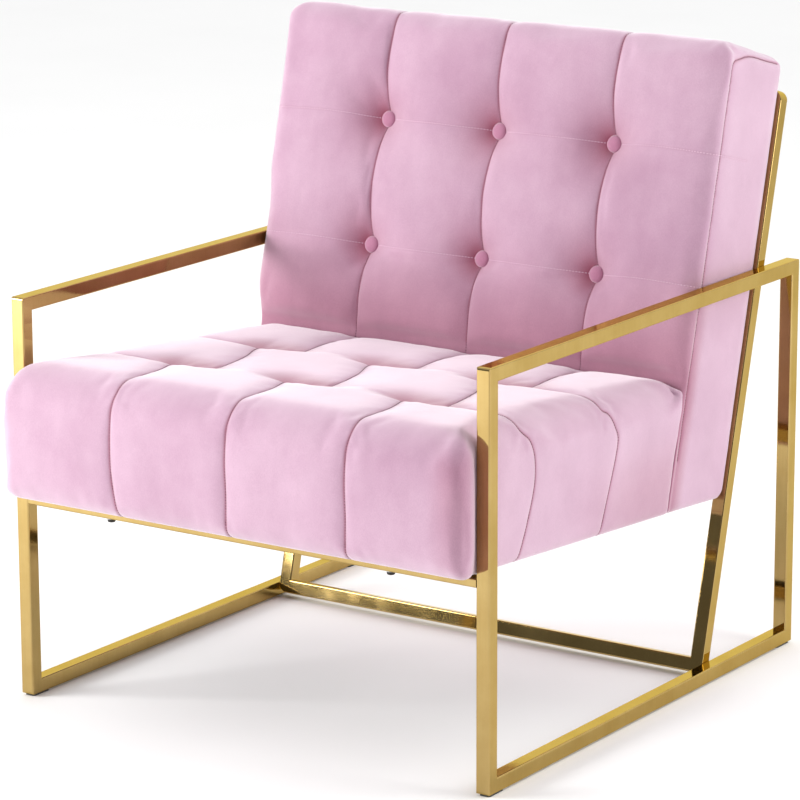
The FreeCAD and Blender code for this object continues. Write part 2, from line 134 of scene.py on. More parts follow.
class Pad:
    """A closed cushion mesh on a box-shaped lattice: x across, j front to rear, k low to high.

    The corners (y, z) of its side view and their radii: front bottom, front top, rear top, rear bottom."""

    def __init__(self, corners, radii, across, j_share, k_share, side_radius):
        fb, ft, rt, rb = (np.array(c, float) for c in corners)
        r_fb, r_ft, r_rt, r_rb = radii
        front = rounded_edge(fb, ft, rb, rt, r_fb, r_ft, k_share)
        top = rounded_edge(ft, rt, fb, rb, r_ft, r_rt, j_share)
        rear = rounded_edge(rb, rt, fb, ft, r_rb, r_rt, k_share)
        bottom = rounded_edge(fb, rb, ft, rt, r_fb, r_rb, j_share)
        nj, nk = len(j_share), len(k_share)
        u, v = j_share[:, None, None], k_share[None, :, None]
        side = (1 - u) * front[None] + u * rear[None] + (1 - v) * bottom[:, None] + v * top[:, None]
        side = side - (
            (1 - u) * (1 - v) * front[0]
            + (1 - u) * v * front[-1]
            + u * (1 - v) * rear[0]
            + u * v * rear[-1]
        )
        loop = np.concatenate([front[:-1], top[:-1], rear[::-1][:-1], bottom[::-1][:-1]])
        steps = np.linspace(0, 1, 8)[:-1]
        dense = np.concatenate([a + np.outer(steps, b - a) for a, b in zip(loop, np.roll(loop, -1, 0))])
        spread = 3  # points to each side that a direction is taken over
        way = np.roll(dense, -spread, 0) - np.roll(dense, spread, 0)
        inward = np.stack([way[:, 1], -way[:, 0]], 1)
        inward /= np.linalg.norm(inward, axis=1)[:, None]
        flat = side.reshape(-1, 2)
        gap = np.linalg.norm(flat[:, None] - dense[None], axis=2)
        nearest = gap.argmin(1)
        depth = gap.min(1)
        pull = inward[nearest]
        radius = side_radius(-pull, flat)
        ids = -np.ones((len(across), nj, nk), int)
        edge = np.zeros((nj, nk), bool)
        edge[0] = edge[-1] = edge[:, 0] = edge[:, -1] = True
        shell = np.zeros(ids.shape, bool)
        shell[0] = shell[-1] = True
        shell[:, edge] = True
        ids[shell] = np.arange(shell.sum())
        i, j, k = np.nonzero(shell)
        half = across[-1]
        x = across[i]
        cell = j * nk + k
        r = radius[cell]
        on_belt = edge[j, k]
        dx = np.clip(np.abs(x) - (half - r), 0, None)
        dr = np.where(on_belt, r, np.clip(r - depth[cell], 0, None))
        size = np.hypot(dx, dr)
        scale = np.where(size > 0, np.maximum(dx, dr) / np.maximum(size, 1e-9), 1)
        new_x = np.where(dx > 0, np.sign(x) * (half - r + dx * scale), x)
        inset = np.where(dx > 0, dr - dr * scale, 0)
        yz = flat[cell] + pull[cell] * inset[:, None]
        self.points = np.column_stack([new_x, yz])
        quads = []
        for sheet, flip in (
            (ids[0], True),
            (ids[-1], False),
            (ids[:, 0], False),
            (ids[:, -1], True),
            (ids[:, :, 0], True),
            (ids[:, :, -1], False),
        ):
            q = np.stack([sheet[:-1, :-1], sheet[1:, :-1], sheet[1:, 1:], sheet[:-1, 1:]], -1).reshape(-1, 4)
            quads.append(q[:, ::-1] if flip else q)
        self.quads = np.concatenate(quads)


def make_object(name, points, faces):
    """A smooth-shaded object in the scene."""
    mesh = bpy.data.meshes.new(name)
    corners = [tuple(p) for p in np.asarray(points, float)]
    mesh.from_pydata(corners, [], [tuple(int(c) for c in f) for f in faces])
    mesh.update()
    mesh.polygons.foreach_set("use_smooth", np.ones(len(mesh.polygons), bool))
    obj = bpy.data.objects.new(name, mesh)
    bpy.context.scene.collection.objects.link(obj)
    return obj


def coords(mesh):
    out = np.zeros(len(mesh.vertices) * 3, np.float32)
    mesh.vertices.foreach_get("co", out)
    return out.reshape(-1, 3).astype(float)


def set_coords(mesh, points):
    mesh.vertices.foreach_set("co", np.asarray(points, np.float32).ravel())
    mesh.update()


def normals(mesh):
    out = np.zeros(len(mesh.vertices) * 3, np.float32)
    mesh.vertex_normals.foreach_get("vector", out)
    return out.reshape(-1, 3).astype(float)


def smooth_line(points, step):
    """A smooth line through the points (Catmull-Rom), in equal steps."""
    p = [np.array(q, float) for q in points]
    p = [2 * p[0] - p[1]] + p + [2 * p[-1] - p[-2]]
    out = []
    for a, b, c, d in zip(p, p[1:], p[2:], p[3:]):
        for t in np.linspace(0, 1, 24, endpoint=False):
            bend = (2 * a - 5 * b + 4 * c - d) * t**2 + (3 * b - a - 3 * c + d) * t**3
            out.append(0.5 * (2 * b + (c - a) * t + bend))
    out = np.array(out + [p[-2]])
    return even(out, step)


def even(line, step):
    """The same line in equal steps of about this length."""
    gaps = np.linalg.norm(np.diff(line, axis=0), axis=1)
    run = np.concatenate([[0], np.cumsum(gaps)])
    count = max(2, int(round(run[-1] / step)))
    at = np.linspace(0, run[-1], count + 1)
    return np.column_stack([np.interp(at, run, line[:, c]) for c in range(3)])


def surface(obj):
    return BVHTree.FromObject(obj, bpy.context.evaluated_depsgraph_get())


def onto(tree, line):
    """Each point of the line moved to the surface's nearest point."""
    return np.array([tree.find_nearest(Vector(p))[0] for p in line])


def point_tree(lines):
    """A search tree over all points of the lines."""
    joined = np.concatenate(lines)
    tree = kdtree.KDTree(len(joined))
    for n, p in enumerate(joined):
        tree.insert(Vector(p), n)
    tree.balance()
    return tree


def distance_to(lines, points):
    """Distance of each point to the nearest point of the lines."""
    tree = point_tree(lines)
    return np.array([tree.find(Vector(p))[2] for p in points])


def smoothstep(low, high, x):
    """Eases from 0 at low to 1 at high, whichever of them is larger."""
    t = np.clip((x - low) / (high - low), 0, 1)
    return t * t * (3 - 2 * t)


CLOTH_FRAMES = 20
CLOTH_PRESSURE = 4.0
CLOTH_GROWTH = 0.012  # how much larger the velvet is cut than the pad, as a share


def inflate(obj, pins, cap):
    """Cloth under pressure with its sewn lines held. No point moves further than its cap."""
    start = coords(obj.data)
    group = obj.vertex_groups.new(name="held")
    for level in np.unique(np.round(pins, 2)):
        if level > 0:
            members = [int(n) for n in np.nonzero(np.round(pins, 2) == level)[0]]
            group.add(members, float(level), "REPLACE")
    cloth = obj.modifiers.new("cloth", "CLOTH")
    settings = cloth.settings
    settings.quality = 4
    settings.mass = 0.25
    settings.tension_stiffness = 18
    settings.compression_stiffness = 18
    settings.shear_stiffness = 6
    settings.bending_stiffness = 0.25
    settings.tension_damping = 12
    settings.compression_damping = 12
    settings.shear_damping = 12
    settings.air_damping = 2
    settings.vertex_group_mass = "held"
    settings.pin_stiffness = 1
    settings.shrink_min = -CLOTH_GROWTH
    settings.use_pressure = True
    settings.uniform_pressure_force = CLOTH_PRESSURE
    settings.effector_weights.gravity = 0
    cloth.collision_settings.use_collision = False
    scene = bpy.context.scene
    cloth.point_cache.frame_start = 1
    cloth.point_cache.frame_end = CLOTH_FRAMES
    for step in range(1, CLOTH_FRAMES + 1):
        scene.frame_set(step)
    moved_obj = obj.evaluated_get(bpy.context.evaluated_depsgraph_get())
    end = coords(moved_obj.to_mesh())
    moved_obj.to_mesh_clear()
    obj.modifiers.remove(cloth)
    obj.vertex_groups.remove(group)
    scene.frame_set(1)
    move = end - start
    length = np.linalg.norm(move, axis=1)
    keep = cap * np.tanh(length / np.maximum(cap, 1e-6)) / np.maximum(length, 1e-9)
    return start + move * keep[:, None]


def relax(points, quads, amount, rounds, hold):
    """Evens out the points, except where they are held."""
    n = len(points)
    a = np.concatenate([quads[:, 0], quads[:, 1], quads[:, 2], quads[:, 3]])
    b = np.concatenate([quads[:, 1], quads[:, 2], quads[:, 3], quads[:, 0]])
    count = np.bincount(a, minlength=n) + np.bincount(b, minlength=n)
    out = points.copy()
    for _ in range(rounds):
        mean = np.zeros_like(out)
        for c in range(3):
            mean[:, c] = np.bincount(a, out[b, c], n) + np.bincount(b, out[a, c], n)
        mean /= count[:, None]
        out += (mean - out) * (amount * (1 - hold))[:, None]
    return out


def hold(held, where, amount=1.0):
    """Holds these points at least this firmly."""
    return np.maximum(held, np.where(where, amount, 0.0))


def subdivide(obj):
    """Puts one level of smooth subdivision into the mesh."""
    mod = obj.modifiers.new("subdivide", "SUBSURF")
    mod.levels = mod.render_levels = 1
    done = bpy.data.meshes.new_from_object(obj.evaluated_get(bpy.context.evaluated_depsgraph_get()))
    obj.modifiers.clear()
    old = obj.data
    done.name = old.name
    obj.data = done
    bpy.data.meshes.remove(old)


def paint(obj, name, values):
    """Stores a value per point for the material to read."""
    layer = obj.data.attributes.new(name, "FLOAT", "POINT")
    layer.data.foreach_set("value", np.asarray(values, np.float32))


STITCH_SIDES = 6
STEPS_PER_STITCH = 6  # points of the seam line from one stitch to the next
# Each ring of a stitch: share of its length, then radius and height over the cloth, in thread radii.
STITCH_RINGS = ((0, 0.35, -0.9), (0.2, 0.95, 0.1), (0.5, 1, 0.45), (0.8, 0.95, 0.1), (1, 0.35, -0.9))


def stitches(name, lines, tree, pitch=3.8 * MM, length=2.8 * MM, radius=0.6 * MM):
    """Rows of single stitches that lie on the surface along the lines."""
    points, faces = [], []
    ring = [(math.cos(a), math.sin(a)) for a in np.linspace(0, 2 * math.pi, STITCH_SIDES, endpoint=False)]
    for line in lines:
        fine = even(line, pitch / STEPS_PER_STITCH)
        taken = max(1, int(round(length / (pitch / STEPS_PER_STITCH))))
        for first in range(0, len(fine) - taken, STEPS_PER_STITCH):
            a, b = Vector(fine[first]), Vector(fine[first + taken])
            middle = Vector(fine[first + taken // 2])
            normal = tree.find_nearest(middle)[1]
            along = (b - a).normalized()
            out = (normal - along * normal.dot(along)).normalized()
            across = along.cross(out)
            base = len(points)
            for t, r, lift in STITCH_RINGS:
                centre = a.lerp(b, t) + out * (lift * radius)
                points.extend(centre + (across * c + out * s) * radius * r for c, s in ring)
            for level in range(len(STITCH_RINGS) - 1):
                first_corner = base + level * STITCH_SIDES
                for n in range(STITCH_SIDES):
                    here, beside = first_corner + n, first_corner + (n + 1) % STITCH_SIDES
                    faces.append((here, beside, beside + STITCH_SIDES, here + STITCH_SIDES))
            end = base + (len(STITCH_RINGS) - 1) * STITCH_SIDES
            faces.append(tuple(base + n for n in reversed(range(STITCH_SIDES))))
            faces.append(tuple(end + n for n in range(STITCH_SIDES)))
    return make_object(name, np.array([tuple(p) for p in points]), faces)


# ---------------------------------------------------------------- materials


class Nodes:
    """Short words for building one procedural material."""

    def __init__(self, name):
        self.material = bpy.data.materials.new(name)
        self.material.use_nodes = True
        self.tree = self.material.node_tree
        self.shader = self.tree.nodes["Principled BSDF"]
        self.place = self.tree.nodes.new("ShaderNodeTexCoord").outputs["Object"]

    def add(self, kind, **values):
        node = self.tree.nodes.new(kind)
        for key, value in values.items():
            setattr(node, key, value)
        return node

    def link(self, a, b):
        self.tree.links.new(a, b)

    def set(self, **values):
        for key, value in values.items():
            self.shader.inputs[key.replace("_", " ")].default_value = value

    def noise(self, scale, detail=3.0, rough=0.55, stretch=None):
        node = self.add("ShaderNodeTexNoise")
        node.inputs["Scale"].default_value = scale
        node.inputs["Detail"].default_value = detail
        node.inputs["Roughness"].default_value = rough
        source = self.place
        if stretch:
            mapping = self.add("ShaderNodeMapping")
            mapping.inputs["Scale"].default_value = stretch
            self.link(source, mapping.inputs["Vector"])
            source = mapping.outputs["Vector"]
        self.link(source, node.inputs["Vector"])
        return node.outputs["Fac"]

    def ramp(self, source, stops):
        node = self.add("ShaderNodeValToRGB")
        elements = node.color_ramp.elements
        while len(elements) < len(stops):
            elements.new(0.5)
        for element, (at, colour) in zip(elements, stops):
            element.position = at
            element.color = (*colour, 1)
        self.link(source, node.inputs["Fac"])
        return node.outputs["Color"]

    def range(self, source, low, high, to_low, to_high):
        node = self.add("ShaderNodeMapRange")
        for key, value in zip(("From Min", "From Max", "To Min", "To Max"), (low, high, to_low, to_high)):
            node.inputs[key].default_value = value
        self.link(source, node.inputs["Value"])
        return node.outputs["Result"]

    def mix(self, kind, factor, a, b):
        node = self.add("ShaderNodeMix", data_type="RGBA", blend_type=kind)
        # A mix node's colour sockets are inputs 6 and 7 and output 2.
        for socket, value in ((node.inputs["Factor"], factor), (node.inputs[6], a), (node.inputs[7], b)):
            if isinstance(value, (int, float)):
                socket.default_value = value
            elif isinstance(value, tuple):
                socket.default_value = (*value, 1)
            else:
                self.link(value, socket)
        return node.outputs[2]

    def math(self, kind, a, b):
        node = self.add("ShaderNodeMath", operation=kind)
        for socket, value in zip(node.inputs, (a, b)):
            if isinstance(value, (int, float)):
                socket.default_value = value
            else:
                self.link(value, socket)
        return node.outputs[0]

    def bump(self, heights):
        """Bumps from (height, strength, distance) in turn."""
        before = None
        for height, strength, distance in heights:
            node = self.add("ShaderNodeBump")
            node.inputs["Strength"].default_value = strength
            node.inputs["Distance"].default_value = distance
            self.link(height, node.inputs["Height"])
            if before is not None:
                self.link(before, node.inputs["Normal"])
            before = node.outputs["Normal"]
        self.link(before, self.shader.inputs["Normal"])

    def colour(self, socket):
        self.link(socket, self.shader.inputs["Base Color"])

    def rough(self, socket):
        self.link(socket, self.shader.inputs["Roughness"])


def velvet(name, low, high, seams=True):
    """Short pile: a deep ground, a bright sheen at grazing angles, brushed patches and fine fibres.

    With seams, a painted shade kept per point darkens and reddens it."""
    n = Nodes(name)
    patches = n.noise(7.5, 4, 0.6)
    strokes = n.noise(26, 3, 0.55, (1.0, 0.6, 0.35))
    fibres = n.noise(900, 2, 0.6, (1.0, 1.0, 0.55))
    colour = n.ramp(patches, [(0.3, low), (0.7, high)])
    stroke_shade = n.ramp(strokes, [(0.25, (0.86, 0.8, 0.84)), (0.75, (1.06, 1.05, 1.06))])
    colour = n.mix("MULTIPLY", 0.55, colour, stroke_shade)
    fibre_shade = n.ramp(fibres, [(0.2, (0.78, 0.72, 0.77)), (0.8, (1.1, 1.1, 1.1))])
    colour = n.mix("MULTIPLY", 0.5, colour, fibre_shade)
    if seams:
        # Painted shade: the per-point attribute darkens and reddens the velvet in grooves, slits, dimples and
        # shaded corners.
        painted_shade_amount = n.add("ShaderNodeAttribute", attribute_name="painted_shade").outputs["Fac"]
        colour = n.mix("MULTIPLY", painted_shade_amount, colour, (0.5, 0.04, 0.12))
    n.colour(colour)
    n.rough(n.range(strokes, 0.2, 0.8, 0.72, 0.92))
    n.set(Sheen_Weight=1.0, Sheen_Roughness=0.52, Sheen_Tint=(0.97, 0.92, 0.96, 1), Specular_IOR_Level=0.15)
    n.bump([(patches, 0.25, 0.004), (strokes, 0.18, 0.0016), (fibres, 0.35, 0.0006)])
    return n.material


def polished(name, colour, dark, rough_low, rough_high):
    """Plated tube: faint drawing lines, finger marks and softly rubbed patches."""
    n = Nodes(name)
    lines = n.noise(260, 2, 0.5, (1.0, 1.0, 0.04))
    cloudy = n.noise(16, 4, 0.6)
    specks = n.noise(1400, 2, 0.5)
    tone = n.ramp(cloudy, [(0.25, dark), (0.75, colour)])
    line_shade = n.ramp(lines, [(0.3, (0.86, 0.84, 0.8)), (0.7, (1.03, 1.03, 1.03))])
    n.colour(n.mix("MULTIPLY", 0.25, tone, line_shade))
    rubbed = n.range(cloudy, 0.3, 0.75, rough_low, rough_high)
    n.rough(n.math("ADD", rubbed, n.range(specks, 0.6, 0.8, 0.0, 0.05)))
    n.set(Metallic=1.0, Specular_IOR_Level=0.5, Specular_Tint=(1.0, 0.86, 0.42, 1))
    n.bump([(cloudy, 0.05, 0.001), (lines, 0.04, 0.0002), (specks, 0.03, 0.0001)])
    return n.material


def wood(name, light, dark, rings):
    """Sawn timber: drawn-out grain and fine pores along X."""
    n = Nodes(name)
    grain = n.noise(rings, 5, 0.65, (0.08, 1.0, 1.0))
    pores = n.noise(420, 3, 0.6, (0.06, 1.0, 1.0))
    colour = n.ramp(grain, [(0.25, dark), (0.7, light)])
    pore_shade = n.ramp(pores, [(0.35, (0.7, 0.62, 0.5)), (0.6, (1, 1, 1))])
    n.colour(n.mix("MULTIPLY", 0.5, colour, pore_shade))
    n.rough(n.range(pores, 0.2, 0.8, 0.5, 0.75))
    n.bump([(grain, 0.2, 0.001), (pores, 0.35, 0.0004)])
    return n.material


def speckled(name, low, high, scale, rough, height, stretch=None, metallic=0.0, sheen=0.0):
    """Foam, felt, plastic, steel or twine, by the size and depth of its grain."""
    n = Nodes(name)
    grain = n.noise(scale, 4, 0.6, stretch)
    broad = n.noise(scale / 30, 3, 0.5)
    colour = n.ramp(grain, [(0.25, low), (0.75, high)])
    broad_shade = n.ramp(broad, [(0.3, (0.8, 0.8, 0.8)), (0.7, (1.08, 1.08, 1.08))])
    n.colour(n.mix("MULTIPLY", 0.4, colour, broad_shade))
    n.rough(n.range(grain, 0.2, 0.8, rough - 0.08, rough + 0.08))
    n.set(Metallic=metallic, Sheen_Weight=sheen)
    n.bump([(broad, 0.15, 0.002), (grain, 0.5, height)])
    return n.material


VELVET = velvet("velvet_seat", (0.50, 0.30, 0.41), (0.60, 0.40, 0.51))
# The buttons' velvet is a darker, redder copy of the cushion velvet: painted shade for buttons sunk in their
# dimples.
SHADED_BUTTON_VELVET = velvet("velvet_button_painted_shade", (0.40, 0.15, 0.25), (0.5, 0.22, 0.33), seams=False)
GOLD = polished("gold_tube", (0.50, 0.36, 0.145), (0.42, 0.285, 0.1), 0.04, 0.09)
TIMBER = wood("timber", (0.62, 0.42, 0.22), (0.42, 0.25, 0.11), 34)
PLYWOOD = wood("plywood", (0.74, 0.56, 0.34), (0.56, 0.38, 0.2), 22)
FOAM = speckled("foam", (0.72, 0.64, 0.45), (0.86, 0.8, 0.62), 700, 0.9, 0.001)
GLIDE = speckled("glide_plastic", (0.015, 0.015, 0.016), (0.05, 0.05, 0.05), 900, 0.5, 0.0002)
BLACK_STEEL = speckled(
    "black_steel", (0.02, 0.02, 0.02), (0.07, 0.065, 0.06), 700, 0.38, 0.0001, metallic=0.8
)
ZINC_STEEL = speckled("zinc_steel", (0.5, 0.5, 0.48), (0.72, 0.72, 0.7), 500, 0.35, 0.0001, metallic=1.0)
TWINE = speckled("twine", (0.5, 0.42, 0.3), (0.78, 0.7, 0.55), 1100, 0.85, 0.0006, (1.0, 1.0, 0.2))
DUST = speckled("dust_cloth", (0.012, 0.012, 0.013), (0.05, 0.05, 0.052), 1200, 0.9, 0.0004, sheen=0.2)
# One thread in two copies: dark as painted shade in the seam grooves, pale as painted highlight on the flush
# rows.
SHADED_THREAD = speckled("thread", (0.10, 0.035, 0.065), (0.2, 0.08, 0.13), 1500, 0.6, 0.0003, sheen=0.3)
LIT_THREAD = speckled("pale_thread", (0.66, 0.42, 0.56), (0.82, 0.6, 0.73), 1500, 0.6, 0.0003, sheen=0.3)

SLOT_MATERIALS = {
    "gold_frame": GOLD,
    "velvet": VELVET,
    "foam": FOAM,
    "timber": TIMBER,
    "plywood": PLYWOOD,
    "dust_cloth": DUST,
    "glide": GLIDE,
    "black_steel": BLACK_STEEL,
    "zinc_steel": ZINC_STEEL,
    "twine": TWINE,
}

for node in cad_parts.values():
    for holder in node.material_slots:
        for slot_name, material in SLOT_MATERIALS.items():
            if holder.material and holder.material.name.startswith(slot_name):
                holder.material = material
                break


# ---------------------------------------------------------------- seat

SEAT_TILT = math.radians(3.8)  # slope of the seat's underside, down to the rear
SEAT_DROP = math.radians(4.6)  # slope of its top
SEAT_RISE = 0.2168  # upper front edge over the lowest point of the CAD cover
SEAT_ORIGIN = np.array([RAIL_HIGH.y, RAIL_HIGH.z + 0.3 * MM])  # the underside rests here on the front rail
SEAT_REAR = 147 * MM  # how far forward of the leaning loop's front face the seat ends
SEAT_REAR_LIMIT = 147.2 * MM  # the seat's velvet stays in front of this plane
BACK_FRONT_LIMIT = 146.2 * MM  # the back's velvet stays behind this one, below the seat's top


def seat_under(y):
    """Height of the seat's underside."""
    return SEAT_ORIGIN[1] - (y - SEAT_ORIGIN[0]) * math.tan(SEAT_TILT)


def seat_top(y):
    """Height of the seat's upper edge, before its crown."""
    return SEAT_LOW.z + SEAT_RISE - (y - SEAT_LOW.y) * math.tan(SEAT_DROP)


def leaning_y(z, forward):
    """How far back a plane of the back lies at a height."""
    return FOOT_Y + z * math.tan(LEAN) - forward / math.cos(LEAN)


def seat_corners():
    front = SEAT_LOW.y + 3 * MM
    high = (seat_top(0.14) + seat_top(0.15)) / 2
    low = seat_under(0.107)
    return (
        (front, seat_under(front)),
        (front, seat_top(front)),
        (leaning_y(high, SEAT_REAR), high),
        (leaning_y(low, SEAT_REAR), low),
    )


def seat_radius(outward, place):
    """Rounding of the seat's sides: wide along the top, small at the front and below."""
    along = 0.3 + 0.7 * smoothstep(SEAT_LOW.y + 0.02, SEAT_LOW.y + 0.15, place[:, 0])
    return 12 * MM + 36 * MM * smoothstep(-0.1, 0.9, outward[:, 1]) * along


def share(low, high, marks, fine=3.6 * MM, coarse=8.5 * MM, reach=16 * MM):
    """Stations as shares of the way from low to high."""
    at = stations(low, high, marks, fine, coarse, reach)
    return (at - low) / (high - low)


def on_top(x, y):
    """A point on the seat's upper edge plane."""
    return (x, y, seat_top(y))


def seat_column_line(column):
    """A stitched line from under the front, over the front edge and through the tufts to the back."""
    x = column + 7 * MM
    drift = (4 if column < 0 else -4) * MM
    front = SEAT_LOW.y
    row1, row2 = TUFT_ROWS
    rear = leaning_y(seat_top(0.145), SEAT_REAR)
    bottom = seat_under(front)
    up_front = [
        (x + drift, front + 34 * MM, bottom - 2 * MM),
        (x + drift, front + 3 * MM, bottom + 12 * MM),
        (x - 2 * MM, front, bottom + 60 * MM),
        (x - 3 * MM, front, bottom + 105 * MM),
        (x - 1 * MM, front, seat_top(front) - 34 * MM),
        (x, front + 13 * MM, seat_top(front) - 8 * MM),
        on_top(x - 2 * MM, front + 60 * MM),
        on_top(x - 10 * MM, row1 - 62 * MM),
        on_top(column - CREASE, row1),
    ]
    between = [
        on_top(column + CREASE, row1),
        on_top(column + CREASE + 2 * MM, row1 + 45 * MM),
        on_top(column + 14 * MM, row1 + 105 * MM),
        on_top(column - 8 * MM, row2 - 42 * MM),
        on_top(column - CREASE, row2),
    ]
    behind = [
        on_top(column + CREASE, row2),
        on_top(column + CREASE + 3 * MM, row2 + 40 * MM),
        on_top(column + 18 * MM, row2 + 110 * MM),
        on_top(column + 14 * MM, rear),
    ]
    return [up_front, between, behind]


def seat_row_line(row, side_points):
    """The stitched lines from the outer tufts of a row down both sides."""
    last = COLUMNS[-1] + CREASE
    beside = ((last + SOFT_HALF) / 2 + 10 * MM, row - 4 * MM, seat_top(row))
    right = [on_top(last, row), beside] + [(SOFT_HALF, y, z) for y, z in side_points]
    left = [(-x, y, z) for x, y, z in right]
    return [right, left]


# The stitched lines down the seat's sides, one per tuft row, as (y, z) in metres.
SIDE_ROW_1 = ((-0.250, 0.463), (-0.2375, 0.430), (-0.2345, 0.381), (-0.2508, 0.3326), (-0.273, 0.287))
SIDE_ROW_1 += ((-0.281, 0.275),)
SIDE_ROW_2 = ((-0.050, 0.452), (-0.041, 0.434), (-0.0345, 0.410), (-0.0325, 0.377), (-0.0733, 0.274))
SIDE_ROW_2 += ((-0.078, 0.262),)
SEAM_STEP = 2.5 * MM
SEAM_WIDTH = 3.4 * MM  # points nearer to a seam than this are held by it


def make_seat():
    """The seat's pad before it is sewn, its held points, seams, rows and creases."""
    corners = seat_corners()
    x_marks = (-SOFT_HALF, SOFT_HALF, *COLUMNS)
    across = stations(-SOFT_HALF, SOFT_HALF, x_marks, fine=3.6 * MM, coarse=8.5 * MM, reach=26 * MM)
    across = (across - across[::-1]) / 2
    length = corners[2][0] - corners[0][0]
    marks = [0.0, length, *(row - corners[0][0] for row in TUFT_ROWS)]
    j_share = share(0, length, marks)
    height = corners[1][1] - corners[0][1]
    k_share = share(0, height, (0.0, height), fine=4.5 * MM, coarse=8 * MM, reach=20 * MM)
    pad = Pad(corners, (20 * MM, 38 * MM, 8 * MM, 6 * MM), across, j_share, k_share, seat_radius)
    # In front of the posts the seat is wider than between them, most of all low down.
    q = pad.points
    before_posts = smoothstep(POST_FRONT + 2 * MM, POST_FRONT - 24 * MM, q[:, 1])
    lower = 1 - 0.6 * smoothstep(0.38, 0.47, q[:, 2])
    q[:, 0] += np.sign(q[:, 0]) * 9 * MM * before_posts * lower * np.abs(q[:, 0] / SOFT_HALF) ** 4
    obj = make_object("seat_cushion", pad.points, pad.quads)
    base = surface(obj)
    seams = []
    for column in COLUMNS:
        seams += seat_column_line(column)
    rows = seat_row_line(TUFT_ROWS[0], SIDE_ROW_1) + seat_row_line(TUFT_ROWS[1], SIDE_ROW_2)
    lines = [onto(base, smooth_line(s, SEAM_STEP)) for s in seams]
    row_lines = [onto(base, smooth_line(s, SEAM_STEP)) for s in rows]
    creases = [
        onto(base, even(np.array([on_top(c - CREASE, r), on_top(c + CREASE, r)]), 2 * MM))
        for c in COLUMNS
        for r in TUFT_ROWS
    ]
    p = pad.points
    out = normals(obj.data)
    to_column = distance_to(lines, p)
    to_row = distance_to(row_lines, p)
    to_seam = np.minimum(to_column, to_row)
    to_tuft = distance_to(creases, p)
    upward = smoothstep(0.2, 0.9, out[:, 2])
    level = np.clip(1 - (np.abs(p[:, 0]) / SOFT_HALF) ** 3, 0, 1)
    run = np.clip((p[:, 1] - SEAT_LOW.y) / length, 0, 1)
    arch = np.clip(1 - np.abs(2 * run - 1) ** 4, 0, 1)
    crown = (4 + level) * MM * arch * upward
    tall = np.clip((p[:, 2] - seat_under(p[:, 1])) / height, 0, 1)
    bulge = 4 * MM * smoothstep(0.3, 0.95, -out[:, 1]) * (1 - (2 * tall - 1) ** 2)
    panel = 1 - np.exp(-to_seam / (20 * MM))
    swell = (2.5 * upward + 1.5 * (1 - upward)) * MM * panel
    # A tuft's dip is wide behind it and steep in front.
    dip = np.zeros(len(p))
    for column in COLUMNS:
        for row in TUFT_ROWS:
            beside = np.clip(np.abs(p[:, 0] - column) - CREASE, 0, None) / (24 * MM)
            along = p[:, 1] - row
            away_from = np.hypot(beside, np.where(along > 0, along / (34 * MM), along / (7 * MM)))
            dip = np.maximum(dip, 10 * MM * np.exp(-away_from) * upward)
    under = smoothstep(0.3, 0.9, -out[:, 2])
    start = p + out * ((crown + bulge + swell - dip) * (1 - under))[:, None]
    held = np.where(under > 0.4, 1.0, 0.0)
    held = hold(held, out[:, 1] > 0.8)
    held = hold(held, to_tuft < 5 * MM)
    held = hold(held, to_column < SEAM_WIDTH, 0.9)
    held = hold(held, to_row < SEAM_WIDTH, np.where(out[:, 2] > 0.7, 0.5, 0.85))
    set_coords(obj.data, start)
    start = inflate(obj, held, (2.2 + 1.6 * upward) * MM)
    return obj, pad, start, held, lines, row_lines, creases


def follow(tree, before, lines, after, mesh):
    """The same lines on the surface after it has moved."""
    out = []
    faces = [tuple(f.vertices) for f in mesh.polygons]
    for line in lines:
        moved = []
        for q in line:
            face = list(faces[tree.find_nearest(Vector(q))[2]])
            weight = 1 / (np.linalg.norm(before[face] - q, axis=1) + 1e-6) ** 2
            weight /= weight.sum()
            moved.append(q + (weight[:, None] * (after[face] - before[face])).sum(0))
        out.append(np.array(moved))
    return out


def keep_clear(points):
    """Presses cloth flat where it would pass the side frames.

    In front of the posts and over the armrests it is free to be wider."""
    x = points[:, 0]
    before_posts = smoothstep(POST_FRONT - 4 * MM, POST_FRONT - 16 * MM, points[:, 1])
    over_arms = smoothstep(ARMREST_TOP + 4 * MM, ARMREST_TOP + 40 * MM, points[:, 2])
    wall = INNER - 3.6 * MM + np.maximum(14 * MM * before_posts, 20 * MM * over_arms)
    extra = np.abs(x) - wall
    points[:, 0] = np.where(extra > 0, np.sign(x) * (wall + 3 * MM * np.tanh(extra / (3 * MM))), x)
    return points


def ahead_of_back(points):
    """Keeps the seat in front of the plane where it meets the back."""
    short = np.clip(SEAT_REAR_LIMIT - (points - FOOT) @ FORWARD, 0, None)
    return points + FORWARD * short[:, None]


def behind_seat(points):
    """Keeps the back flat against the seat below the seat's top."""
    up = (points - FOOT) @ UP_LEAN
    limit = BACK_FRONT_LIMIT + 40 * MM * smoothstep(412 * MM, 455 * MM, up)
    over = np.clip((points - FOOT) @ FORWARD - limit, 0, None)
    return points - FORWARD * over[:, None]


LINE_STEP = 1.2 * MM
THREAD_STEP = 1.5 * MM


